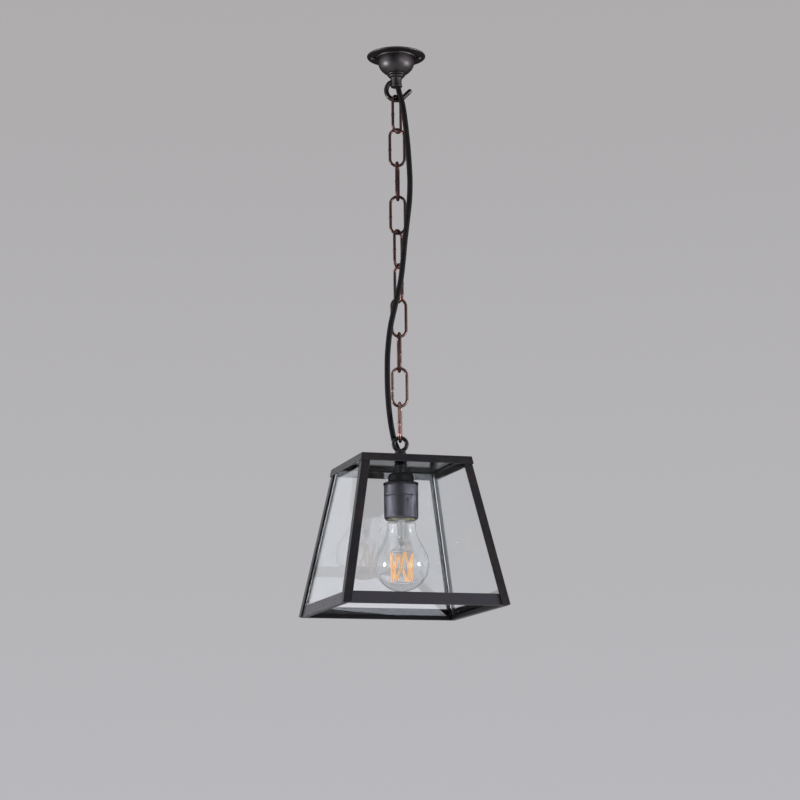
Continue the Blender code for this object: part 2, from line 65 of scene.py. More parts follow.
def hexColour(code):
    parts = [int(code[i:i + 2], 16) / 255 for i in (1, 3, 5)]
    return (*[v / 12.92 if v <= 0.04045 else ((v + 0.055) / 1.055) ** 2.4 for v in parts], 1.0)


def addNode(tree, kind, feeds=None, stops=(), **settings):
    # feeds go to inputs, as values, hex colours or other nodes' sockets; stops are a ramp's own
    node = tree.nodes.new(kind)
    for key, value in settings.items():
        setattr(node, key, value)
    for socket, source in (feeds or {}).items():
        if isinstance(source, bpy.types.NodeSocket):
            tree.links.new(source, node.inputs[socket])
        else:
            flat = hexColour(source) if isinstance(source, str) else source
            node.inputs[socket].default_value = flat
    if stops:
        points = node.color_ramp.elements
        while len(points) < len(stops):
            points.new(0.5)
        for point, (where, colour) in zip(points, stops):
            point.position = where
            point.color = colour
    return node


def place(mesh, name, body, finish, replaced=()):
    thing = bpy.data.objects.new(name, mesh)
    scene.collection.objects.link(thing)
    for one in (finish if isinstance(finish, (list, tuple)) else [finish]):
        thing.data.materials.append(one)
    if body:
        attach(thing, body)
    if replaced:
        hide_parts(*replaced)
    return thing


def smoothShade(mesh, degrees=32):
    mesh.shade_smooth()
    mesh.set_sharp_from_angle(angle=math.radians(degrees))


def settled(mesh, degrees=32):
    # smooth shading that leaves the broad faces looking flat beside small rounds
    smoothShade(mesh, degrees)
    thing = bpy.data.objects.new("settling", mesh)
    scene.collection.objects.link(thing)
    step = thing.modifiers.new("flat", "WEIGHTED_NORMAL")
    step.weight = 60
    step.keep_sharp = True
    result = meshOf(thing)
    bpy.data.objects.remove(thing, do_unlink=True)
    return result


def meshOf(thing):
    bpy.context.view_layer.update()
    graph = bpy.context.evaluated_depsgraph_get()
    return bpy.data.meshes.new_from_object(thing.evaluated_get(graph))


def turnedMesh(name, outline, segments=96):
    # outline runs (radius, height) down the outer side, closed by its own inner side
    shape = bmesh.new()
    rings = []
    for radius, height in outline:
        if radius < 1e-7:
            rings.append([shape.verts.new((0, 0, height))])
            continue
        rings.append([
            shape.verts.new((radius * math.cos(math.tau * i / segments),
                             radius * math.sin(math.tau * i / segments), height))
            for i in range(segments)
        ])
    pairs = list(zip(rings, rings[1:]))
    if len(rings[0]) > 1 and len(rings[-1]) > 1:
        pairs.append((rings[-1], rings[0]))
    for upper, lower in pairs:
        for i in range(segments):
            j = (i + 1) % segments
            corners = [upper[i % len(upper)], lower[i % len(lower)],
                       lower[j % len(lower)], upper[j % len(upper)]]
            face = list(dict.fromkeys(corners))
            if len(face) > 2:
                shape.faces.new(face)
    mesh = bpy.data.meshes.new(name)
    shape.to_mesh(mesh)
    shape.free()
    return settled(mesh)


def flowing(points, perSpan=6):
    # a smooth line through the points, in two or three dimensions
    knots = [Vector(p) for p in points]
    ends = [2 * knots[0] - knots[1], *knots, 2 * knots[-1] - knots[-2]]
    line = []
    for a, b, c, d in zip(ends, ends[1:], ends[2:], ends[3:]):
        for i in range(perSpan):
            t = i / perSpan
            line.append(0.5 * (2 * b + (c - a) * t + (2 * a - 5 * b + 4 * c - d) * t ** 2
                               + (3 * b - a - 3 * c + d) * t ** 3))
    return [*line, knots[-1]]


def arcPoints(centre, radius, start, end, count):
    for i in range(count + 1):
        turn = math.radians(start + (end - start) * i / count)
        yield centre[0] + radius * math.cos(turn), centre[1] + radius * math.sin(turn)


def tubeMesh(name, points, radii, sides=24):
    # a round tube along the points, its section carried along without twist
    points = [Vector(p) for p in points]
    if not isinstance(radii, (list, tuple)):
        radii = [radii] * len(points)
    ahead = [(b - a).normalized() for a, b in zip(points, points[1:])]
    tangents = [ahead[0], *[(a + b).normalized() for a, b in zip(ahead, ahead[1:])], ahead[-1]]
    across = tangents[0].orthogonal().normalized()
    shape = bmesh.new()
    rings = []
    for point, tangent, radius in zip(points, tangents, radii):
        across = (across - tangent * across.dot(tangent)).normalized()
        other = tangent.cross(across)
        rings.append([
            shape.verts.new(point + radius * (across * math.cos(math.tau * i / sides)
                                              + other * math.sin(math.tau * i / sides)))
            for i in range(sides)
        ])
    for low, high in zip(rings, rings[1:]):
        for i in range(sides):
            j = (i + 1) % sides
            shape.faces.new((low[i], low[j], high[j], high[i]))
    shape.faces.new(list(reversed(rings[0])))
    shape.faces.new(rings[-1])
    mesh = bpy.data.meshes.new(name)
    shape.to_mesh(mesh)
    shape.free()
    smoothShade(mesh, 50)
    return mesh


def cutMesh(mesh, others, operation="DIFFERENCE"):
    # the first mesh joined with the others or cut by them
    first = bpy.data.objects.new("cutting", mesh)
    scene.collection.objects.link(first)
    helpers = []
    for other in others:
        helper = bpy.data.objects.new("cutter", other)
        scene.collection.objects.link(helper)
        helpers.append(helper)
        step = first.modifiers.new("cut", "BOOLEAN")
        step.operation = operation
        step.solver = "EXACT"
        step.object = helper
    result = meshOf(first)
    for thing in (first, *helpers):
        bpy.data.objects.remove(thing, do_unlink=True)
    return settled(result)


def copyOfNode(node):
    # a CAD node's mesh, merged and with its flat faces whole again
    shape = bmesh.new()
    shape.from_mesh(frame["nodes"][node].data)
    bmesh.ops.remove_doubles(shape, verts=shape.verts, dist=1e-6)
    bmesh.ops.dissolve_limit(shape, angle_limit=math.radians(1), verts=shape.verts,
                             edges=shape.edges)
    mesh = bpy.data.meshes.new(node)
    shape.to_mesh(mesh)
    shape.free()
    return mesh


def bevelled(mesh, width, segments=3, edgeSlot=-1):
    mesh.shade_smooth()
    thing = bpy.data.objects.new("bevelling", mesh)
    scene.collection.objects.link(thing)
    step = thing.modifiers.new("edge", "BEVEL")
    step.width = width
    step.segments = segments
    step.limit_method = "ANGLE"
    step.angle_limit = math.radians(25)
    step.material = edgeSlot
    step = thing.modifiers.new("flat", "WEIGHTED_NORMAL")
    step.weight = 100
    result = meshOf(thing)
    bpy.data.objects.remove(thing, do_unlink=True)
    return result


def newTree(name, inputs):
    tree = bpy.data.node_groups.new(name, "GeometryNodeTree")
    tree.interface.new_socket(name="Geometry", in_out="OUTPUT", socket_type="NodeSocketGeometry")
    for label, kind in inputs.items():
        tree.interface.new_socket(name=label, in_out="INPUT", socket_type="NodeSocket" + kind)
    given = tree.nodes.new("NodeGroupInput").outputs
    return tree, given


def endTree(tree, geometry, finish):
    whole = addNode(tree, "GeometryNodeRealizeInstances", {"Geometry": geometry})
    painted = addNode(tree, "GeometryNodeSetMaterial", {
        "Geometry": whole.outputs[0], "Material": finish})
    addNode(tree, "NodeGroupOutput", {0: painted.outputs[0]})


def bakedTree(tree, values):
    # the tree's result as a plain mesh, with its inputs set by identifier
    thing = bpy.data.objects.new("baking", bpy.data.meshes.new("baking"))
    scene.collection.objects.link(thing)
    step = thing.modifiers.new("nodes", "NODES")
    step.node_group = tree
    for item in tree.interface.items_tree:
        if item.in_out == "INPUT":
            step[item.identifier] = values[item.name]
    mesh = meshOf(thing)
    bpy.data.objects.remove(thing, do_unlink=True)
    return mesh


# camera, light and surroundings

view = {
    "place": (-0.7039, -2.2745, -0.8578),
    "towards": (0.2904, 0.9380, 0.1891),
    "lean": 0.01066,  # of the camera about its own line, in radians
    "lens": 98.65,
}
studio = {
    "wallLow": "#b9b8bc",  # level with the camera
    "wallHigh": "#aeacad",  # at the top of the view
    # how bright the room is all round, by the turn in degrees from the camera's own side
    "round": [(-180, 0.46), (-160, 0.46), (-150, 0.60), (-130, 0.65), (-105, 0.85), (-72, 1.15),
              (-52, 1.00), (-38, 0.10), (-20, 0.04), (6, 0.04), (14, 0.20), (24, 0.90),
              (36, 1.15), (55, 1.30), (80, 1.00), (110, 0.75), (140, 0.50), (180, 0.46)],
    "height": [(-90, 0.35), (-35, 0.60), (-12, 1.00), (40, 1.00), (90, 0.80)],
    "tint": (0.98, 1.0, 1.05, 1.0),  # of the room's light, faintly cool
    # soft-edged patches of the room: where they are, to the right of the camera, ahead of it and
    # up, the cosines of the angles at which their edge starts and ends, and their light
    "patches": [
        ((0.555, -0.83, -0.035), (0.955, 0.985), (2.45, 2.58, 2.85, 1.0)),  # a low cool window
        ((0.514, -0.666, 0.652), (0.90, 0.965), (0.12, 0.12, 0.12, 1.0)),  # the dark ceiling
    ],
    "lampMiddle": (0, 0, -0.582),  # what both side lamps point at
    "lampAway": 1.5,
    "lampWay": (0.979, 0.207),  # to each side, and back towards the camera
    "lampSize": 0.36,
    "lampPower": 14.0,
    "floor": "#cccbce",
    "floorHeight": -1.55,
    "floorRadius": 3.2,
}


def addCamera():
    data = bpy.data.cameras.new("camera")
    data.lens = view["lens"]
    data.sensor_width = 36
    data.clip_end = 50
    forward = Vector(view["towards"]).normalized()
    right = forward.cross(Vector((0, 0, 1))).normalized()
    up = right.cross(forward)
    turn, lift = math.cos(view["lean"]), math.sin(view["lean"])
    axes = Matrix((right * turn - up * lift, right * lift + up * turn, -forward)).transposed()
    camera = bpy.data.objects.new("camera", data)
    camera.matrix_world = Matrix.Translation(view["place"]) @ axes.to_4x4()
    scene.collection.objects.link(camera)
    scene.camera = camera
    return right, forward


def grey(value):
    return (value, value, value, 1)


def bouncesAndPanes(tree):
    # how often a ray of light was reflected, and how often it went through glass
    path = addNode(tree, "ShaderNodeLightPath").outputs
    bounces = addNode(tree, "ShaderNodeMath", {
        0: path["Glossy Depth"], 1: path["Diffuse Depth"]}).outputs[0]
    return bounces, path["Transmission Depth"]


def addWorld(right, forward):
    # a plain wall where it is looked at, and the room all round where the lantern mirrors it
    world = bpy.data.worlds.new("studio")
    scene.world = world
    world.use_nodes = True
    tree = world.node_tree
    tree.nodes.clear()
    where = addNode(tree, "ShaderNodeTexCoord").outputs["Generated"]

    def along(direction):
        return addNode(tree, "ShaderNodeVectorMath", {0: where, 1: direction},
                       operation="DOT_PRODUCT").outputs["Value"]

    height = along((0, 0, 1))
    wall = addNode(tree, "ShaderNodeValToRGB", {"Fac": height}, stops=[
        (0.0, hexColour(studio["wallLow"])), (0.36, hexColour(studio["wallHigh"]))])
    behind = Vector((-forward.x, -forward.y, 0)).normalized()
    turn = addNode(tree, "ShaderNodeMath", {0: along(right), 1: along(behind)},
                   operation="ARCTAN2").outputs[0]
    turn = addNode(tree, "ShaderNodeMapRange", {
        "Value": turn, "From Min": -math.pi, "From Max": math.pi}).outputs["Result"]
    room = addNode(tree, "ShaderNodeValToRGB", {"Fac": turn}, stops=[
        ((d + 180) / 360, grey(v)) for d, v in studio["round"]]).outputs["Color"]
    lift = addNode(tree, "ShaderNodeMapRange", {"Value": height, "From Min": -1.0})
    tall = addNode(tree, "ShaderNodeValToRGB", {"Fac": lift.outputs["Result"]}, stops=[
        ((math.sin(math.radians(d)) + 1) / 2, grey(v)) for d, v in studio["height"]])
    for shade in (tall.outputs["Color"], studio["tint"]):
        room = addNode(tree, "ShaderNodeMix", {0: 1.0, 6: room, 7: shade},
                       data_type="RGBA", blend_type="MULTIPLY").outputs[2]
    for (across, ahead, rise), (edgeStart, edgeEnd), light in studio["patches"]:
        middle = (right * across + forward * ahead + Vector((0, 0, rise))).normalized()
        inside = addNode(tree, "ShaderNodeMapRange", {
            "Value": along(middle), "From Min": edgeStart, "From Max": edgeEnd},
            interpolation_type="SMOOTHSTEP").outputs["Result"]
        room = addNode(tree, "ShaderNodeMix", {0: inside, 6: room, 7: light},
                       data_type="RGBA").outputs[2]
    bounces = bouncesAndPanes(tree)[0]
    seen = addNode(tree, "ShaderNodeMath", {0: bounces, 1: 0.5}, operation="LESS_THAN").outputs[0]
    both = addNode(tree, "ShaderNodeMix", {0: seen, 6: room, 7: wall.outputs["Color"]},
                   data_type="RGBA").outputs[2]
    light = addNode(tree, "ShaderNodeBackground", {"Color": both, "Strength": 1.0})
    addNode(tree, "ShaderNodeOutputWorld", {"Surface": light.outputs[0]})


def addLamp(name, where, target):
    # a round soft lamp that lights the lantern but isn't seen straight through its panes
    data = bpy.data.lights.new(name, "AREA")
    data.shape = "DISK"
    data.size = studio["lampSize"]
    data.energy = studio["lampPower"]
    data.use_nodes = True
    tree = data.node_tree
    bounces, panes = bouncesAndPanes(tree)
    # one reflection allows any number of panes, and none allows none
    allowed = addNode(tree, "ShaderNodeMath", {0: bounces, 1: 100.0, 2: 0.5},
                      operation="MULTIPLY_ADD").outputs[0]
    shown = addNode(tree, "ShaderNodeMath", {0: allowed, 1: panes}, operation="GREATER_THAN")
    tree.links.new(shown.outputs[0], tree.nodes["Emission"].inputs["Strength"])
    lamp = bpy.data.objects.new(name, data)
    lamp.location = where
    lamp.rotation_euler = (target - where).to_track_quat("-Z", "Y").to_euler()
    scene.collection.objects.link(lamp)


def addFloor():
    shape = bmesh.new()
    bmesh.ops.create_circle(shape, cap_ends=True, segments=128, radius=studio["floorRadius"])
    mesh = bpy.data.meshes.new("floor")
    shape.to_mesh(mesh)
    shape.free()
    mesh.transform(Matrix.Translation((0, 0, studio["floorHeight"])))
    material = bpy.data.materials.new("paleFloor")
    material.use_nodes = True
    shader = material.node_tree.nodes["Principled BSDF"]
    shader.inputs["Base Color"].default_value = hexColour(studio["floor"])
    shader.inputs["Roughness"].default_value = 0.8
    floor = bpy.data.objects.new("floor", mesh)
    floor.data.materials.append(material)
    scene.collection.objects.link(floor)


right, forward = addCamera()
addWorld(right, forward)
bulbMiddle = Vector(studio["lampMiddle"])
aside, back = studio["lampWay"]
for side, label in ((-1, "lampLeft"), (1, "lampRight")):
    spot = bulbMiddle + studio["lampAway"] * (right * side * aside - forward * back)
    addLamp(label, spot, bulbMiddle)
addFloor()
print("camera, light and floor made")

# the finishes


def startMaterial(name, settings):
    material = bpy.data.materials.new(name)
    material.use_nodes = True
    tree = material.node_tree
    shader = tree.nodes["Principled BSDF"]
    for socket, value in settings.items():
        shader.inputs[socket].default_value = value
    return material, tree, shader, addNode(tree, "ShaderNodeTexCoord").outputs["Object"]


def patchy(tree, where, millimetres, detail=4, rough=0.55, low=0.35, high=0.65):
    # a cloudy pattern whose patches are about this size, stretched to run from 0 to 1
    cloud = addNode(tree, "ShaderNodeTexNoise", {
        "Vector": where, "Scale": 1000 / millimetres, "Detail": detail, "Roughness": rough})
    return addNode(tree, "ShaderNodeMapRange", {
        "Value": cloud.outputs["Fac"], "From Min": low, "From Max": high}).outputs["Result"]


def dress(tree, shader, pattern, colours=None, rough=None, relief=None):
    # colour and roughness run between two ends with the pattern; relief is its height in metres
    if colours:
        mix = addNode(tree, "ShaderNodeMix", {0: pattern, 6: colours[0], 7: colours[1]},
                      data_type="RGBA")
        tree.links.new(mix.outputs[2], shader.inputs["Base Color"])
    if rough:
        level = addNode(tree, "ShaderNodeMapRange", {
            "Value": pattern, "To Min": rough[0], "To Max": rough[1]})
        tree.links.new(level.outputs["Result"], shader.inputs["Roughness"])
    if relief:
        bump = addNode(tree, "ShaderNodeBump", {
            "Height": pattern, "Distance": relief, "Strength": 1.0})
        tree.links.new(bump.outputs["Normal"], shader.inputs["Normal"])


def agedPaint(name, dark, brown, bare, shine=0.28, rough=(0.30, 0.42)):
    # brushed-on blackened lacquer over steel: near black, clouded with brown where it is thin
    material, tree, shader, where = startMaterial(name, {"IOR": 1.5, "Specular IOR Level": shine})
    broad = patchy(tree, where, 34, detail=5, low=0.42, high=0.68)
    fine = patchy(tree, where, 5, detail=6, low=0.38, high=0.70)
    body = addNode(tree, "ShaderNodeMix", {0: broad, 6: dark, 7: brown}, data_type="RGBA")
    spots = addNode(tree, "ShaderNodeMath", {0: broad, 1: fine}, operation="MULTIPLY").outputs[0]
    worn = addNode(tree, "ShaderNodeMapRange", {"Value": spots, "To Max": 0.35})
    tree.links.new(worn.outputs["Result"], shader.inputs["Metallic"])
    dress(tree, shader, spots, (body.outputs[2], bare))
    dress(tree, shader, fine, rough=rough)
    dress(tree, shader, patchy(tree, where, 1.6, detail=3), relief=0.000008)
    return material


def patinaMetal(name, dark, light, roughLow, roughHigh, patch=12, edge="#6a6a6c"):
    # chemically darkened metal, polished thin where hands and tools touched it
    material, tree, shader, where = startMaterial(name, {
        "Metallic": 1.0, "Specular Tint": hexColour(edge)})
    dress(tree, shader, patchy(tree, where, patch, detail=5), (dark, light),
          (roughHigh, roughLow))
    dress(tree, shader, patchy(tree, where, 1.4, detail=4), relief=0.0000015)
    return material


def chainCopper(name):
    # copper plate browned almost to black, its colour running lighter and pinker towards the
    # chain's lower end
    material, tree, shader, where = startMaterial(name, {
        "Metallic": 1.0, "Specular Tint": hexColour("#8a7a78")})
    broad = patchy(tree, where, 16, detail=3)
    height = addNode(tree, "ShaderNodeSeparateXYZ", {"Vector": where}).outputs["Z"]
    lower = addNode(tree, "ShaderNodeMapRange", {
        "Value": height, "From Min": -0.30, "From Max": -0.445}).outputs["Result"]
    brown, pink = [
        addNode(tree, "ShaderNodeMix", {0: broad, 6: dark, 7: light}, data_type="RGBA").outputs[2]
        for dark, light in (("#4a3e3e", "#6f504a"), ("#80665f", "#ab8d83"))]
    dress(tree, shader, lower, (brown, pink))
    dress(tree, shader, broad, rough=(0.36, 0.26))
    dress(tree, shader, patchy(tree, where, 3.0, detail=2), relief=0.0000015)
    return material


def sheath(name):
    # extruded rubber flex: charcoal, with a dusty bloom and the faint ripple of its cores
    material, tree, shader, where = startMaterial(name, {"IOR": 1.5, "Specular IOR Level": 0.10})
    dress(tree, shader, patchy(tree, where, 9, detail=5), ("#161515", "#201e1e"), (0.50, 0.62))
    dress(tree, shader, patchy(tree, where, 2.5, detail=2), relief=0.00002)
    return material


def clearGlass(name, tint, roughness=0.0, ripple=0.00002):
    # float or blown glass: clear, with the slow ripple of its surface
    material, tree, shader, where = startMaterial(name, {
        "IOR": 1.5, "Transmission Weight": 1.0, "Roughness": roughness})
    dress(tree, shader, patchy(tree, where, 60, detail=1, low=0.3, high=0.7), (tint, "#ffffff"),
          relief=ripple)
    return material


def plainMetal(name, colour, roughness):
    # turned or stamped bright metal, with fine marks from the tool
    material, tree, shader, where = startMaterial(name, {"Metallic": 1.0})
    dress(tree, shader, patchy(tree, where, 1.5, detail=5), (colour, "#ffffff"),
          (roughness * 0.8, roughness * 1.2))
    return material


def fired(name, colour, roughness, speck):
    # a fired or moulded insulator: even, with faint specks
    material, tree, shader, where = startMaterial(name, {"IOR": 1.5})
    dress(tree, shader, patchy(tree, where, 0.8, detail=2, low=0.60, high=0.72), (colour, speck),
          (roughness, roughness + 0.15))
    return material


def phosphorCoat(name):
    # silicone with yellow phosphor over a row of tiny chips: chalky orange, a little granular
    material, tree, shader, where = startMaterial(name, {"IOR": 1.41, "Roughness": 0.45})
    dress(tree, shader, patchy(tree, where, 0.9, detail=3), ("#fccb95", "#ffe0bc"))
    # a faint painted glow, though the lamp is not lit
    shader.inputs["Emission Color"].default_value = hexColour("#ffbe74")
    shader.inputs["Emission Strength"].default_value = 0.55
    return material


paint = agedPaint("blackenedSteel", "#232226", "#282528", "#40342f", shine=0.26)
paintEdge = agedPaint("blackenedSteelEdge", "#262427", "#342c2b", "#6b5048")
# a lighter grey for the bottom rails than for the rest of the frame
lighterRailPaint = agedPaint("lighterRailSteel", "#3e3e44", "#424046", "#4e4341", shine=0.22)
# a darker, less glossy copy of the paint for faces turned down or inward: painted shade
innerShadePaint = agedPaint("paintedShadeInside", "#131315", "#19181a", "#242122", shine=0.08)
# a darker, glossier copy of the paint for the top cap's faces turned down: the gloss is the
# shader's own, the darkness is painted shade
glossShadePaint = agedPaint("glossWithPaintedShade", "#0c0c0e", "#121114", "#1a1819", shine=0.5,
                       rough=(0.04, 0.09))
bronze = patinaMetal("darkBronze", "#4d494a", "#595556", 0.38, 0.46, patch=24, edge="#858385")
hookBronze = patinaMetal("blackBronze", "#3a3738", "#4a4647", 0.24, 0.32, patch=14, edge="#4c4a4c")
gunmetal = patinaMetal("satinGunmetal", "#65646c", "#71707b", 0.40, 0.47, patch=20)
lipMetal = patinaMetal("darkerLip", "#38373d", "#46454c", 0.26, 0.34, patch=20)
darkCap = patinaMetal("blackenedCap", "#26262b", "#303037", 0.28, 0.40, patch=14)
tubeMetal = patinaMetal("blackenedTube", "#3c4442", "#4a524f", 0.26, 0.36, patch=10)
rubber = sheath("rubberFlex")
paneGlass = clearGlass("floatGlass", "#fcfefe")
paneEdge = clearGlass("floatGlassEdge", "#9cc4ba", roughness=0.12)
lampGlass = clearGlass("blownGlass", "#fbfcfc", ripple=0.00001)
copper = chainCopper("antiqueCopper")
steel = plainMetal("zincPlatedSteel", "#b9bbc0", 0.35)
brass = plainMetal("pressedBrass", "#ecdf6a", 0.34)
ceramic = fired("glazedSteatite", "#e2dccf", 0.25, "#b8ab96")
blackGlass = fired("blackVitrite", "#141318", 0.15, "#25242a")
phosphor = phosphorCoat("yellowPhosphor")
print("finishes made")

# the flex, in one stretch for each joint that it passes

flexCable = {
    "radius": 0.0031,
    "reach": 0.0150,  # above and below a joint, where the flex bends
    "lastReach": 0.0110,  # below the last joint, inside the eye
    "neckEnd": -0.0385,  # above this height the plate's neck holds it
    "route": [
        (0.0018, -0.0018, -0.0160), (0.0018, -0.0018, -0.0260), (0.0018, -0.0019, -0.0350),
        (0.0023, -0.0031, -0.0405), (0.0034, -0.0054, -0.0465), (0.0053, -0.0077, -0.0540),
        (0.0076, -0.0094, -0.0660), (0.0095, -0.0105, -0.0820), (0.0120, -0.0112, -0.1090),
        (0.0137, -0.0116, -0.1390), (0.0140, -0.0119, -0.1560), (0.0130, -0.0123, -0.1760),
        (0.0103, -0.0127, -0.1990), (0.0075, -0.0131, -0.2220), (0.0052, -0.0134, -0.2450),
        (0.0020, -0.0134, -0.2690), (-0.0038, -0.0130, -0.2940), (-0.0096, -0.0125, -0.3200),
        (-0.0127, -0.0120, -0.3470), (-0.0134, -0.0115, -0.3690), (-0.0132, -0.0102, -0.3900),
        (-0.0121, -0.0072, -0.4090), (-0.0104, -0.0022, -0.4240), (-0.0086, 0.0028, -0.4345),
        (-0.0070, 0.0060, -0.4420), (-0.0052, 0.0065, -0.4480), (-0.0029, 0.0044, -0.4540),
        (-0.0008, 0.0013, -0.4600), (0.0000, 0.0000, -0.4655), (0.0000, 0.0000, -0.4770),
        (0.0000, 0.0000, -0.4870),
    ],
}
flexLine = [turnMatrix @ point for point in flowing(flexCable["route"], 8)]
hinges = [joint for joint in frame["joints"] if joint["type"] == "hinge"]


def lineBetween(high, low):
    # the stretch of the flex between two heights, with its ends exactly there
    stretch = []
    for a, b in zip(flexLine, flexLine[1:]):
        if a.z <= high and a.z > low and not stretch:
            stretch.append(a)
        if a.z > high >= b.z:
            stretch.append(a.lerp(b, (a.z - high) / (a.z - b.z)))
        if b.z < high and b.z > low:
            stretch.append(b)
        if a.z > low >= b.z:
            stretch.append(a.lerp(b, (a.z - low) / (a.z - b.z)))
            break
    return stretch


def addFlex():
    heights = [joint["pos_m"][2] for joint in hinges]
    cuts = [flexLine[0].z, *[(a + b) / 2 for a, b in zip(heights, heights[1:])], flexLine[-1].z]
    stretches = []
    for i, joint in enumerate(hinges):
        line = lineBetween(cuts[i], cuts[i + 1])
        name = f"flexStretch{i + 1:02d}"
        stretch = place(tubeMesh(name, line, flexCable["radius"]), name, None, rubber,
                        ["flex_cable"] if i == 0 else ())
        z = heights[i]
        above = below = flexCable["reach"]
        if i == 0:
            above = min(above, flexCable["neckEnd"] - z)
        if i == len(hinges) - 1:
            below = flexCable["lastReach"]
        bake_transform(stretch)
        length = sum((b - a).length for a, b in zip(line, line[1:]))
        stretches.append(length)
    print("flex made,", round(sum(stretches), 3), "m in", len(stretches), "stretches")


addFlex()


def flexCutter(name, high, low, spare=0.0003):
    # the flex's own path, a little fatter, to cut its way through a fitting
    line = lineBetween(high, low)
    first, last = line[0].copy(), line[-1].copy()
    first.z += 0.004
    last.z -= 0.004
    return tubeMesh(name, [first, *line, last], flexCable["radius"] + spare)


# ceiling plate, screws and hook

ceilingPlate = {
    "radius": 0.03325,
    "cup": [(0.0206, -0.0034), (0.0205, -0.0085), (0.0196, -0.0125), (0.0174, -0.0163),
            (0.0144, -0.0192), (0.0119, -0.0209)],
    "beads": [(0.0098, -0.0222, 0.0009), (0.0082, -0.0243, 0.0009), (0.0062, -0.0271, 0.0006)],
    "neck": [(0.00605, -0.0282), (0.0060, -0.0320), (0.00605, -0.0342), (0.0064, -0.0349),
             (0.0067, -0.0357), (0.0066, -0.0365), (0.0062, -0.0370), (0.0, -0.0370)],
    "hollow": [(0.0, -0.0220), (0.0068, -0.0212), (0.0112, -0.0186), (0.0152, -0.0148),
               (0.0180, -0.0100), (0.0190, -0.0060), (0.0192, 0.0)],
}
hook = {"wire": 0.0027, "centre": -0.0408, "radius": 0.0115, "tip": (0.0168, -0.0404),
        "root": (-0.0034, -0.0304)}


def hookLine():
    ring = list(arcPoints((0, hook["centre"]), hook["radius"], 128, 318, 48))
    tip = [Vector(ring[-1]).lerp(Vector(hook["tip"]), i / 8) for i in range(1, 9)]
    points = [hook["root"], (-0.0055, -0.0310), *ring, *tip]
    return [turnMatrix @ Vector((x, 0, z)) for x, z in points]


def addHook():
    line = hookLine()
    radii = [hook["wire"]] * len(line)
    for back, share in ((-1, 0.35), (-2, 0.80), (-3, 0.97)):
        radii[back] = hook["wire"] * share
    tail = line[-1] - line[-2]
    line[-2:] = [line[-1] - 0.35 * tail, line[-1]]
    place(tubeMesh("ceilingHook", line, radii), "ceilingHook", "ceiling_fitting", hookBronze,
          ["ceiling_hook"])


def addPlate():
    edge = ceilingPlate["radius"]
    flange = [(edge - 0.0004, 0.0), (edge, -0.0004), (edge, -0.0010), (edge - 0.0003, -0.0015),
              (edge - 0.0010, -0.0018), (0.0230, -0.0020)]
    bead = list(arcPoints((0.0218, -0.0024), 0.0011, -10, -170, 10))
    beads = [p for r, z, size in ceilingPlate["beads"]
             for p in arcPoints((r, z), size, 65, -65, 8)]
    outline = [*ceilingPlate["hollow"], *flange, *bead, *flowing(ceilingPlate["cup"], 8),
               (0.0112, -0.0213), *beads, *ceilingPlate["neck"]]
    mesh = turnedMesh("ceilingPlate", outline, 128)
    socket = tubeMesh("socket", hookLine()[:20], hook["wire"] + 0.0002)
    mesh = cutMesh(mesh, [flexCutter("bore", -0.0170, -0.0400, 0.0001), socket])
    place(mesh, "ceilingPlate", "ceiling_fitting", bronze, ["ceiling_plate"])


plateScrews = {"Head": 0.0029, "Shank": 0.00175, "Apart": 0.0520, "Face": -0.0023,
               "End": 0.0058, "Turn": chainTurn, "Finish": bronze}


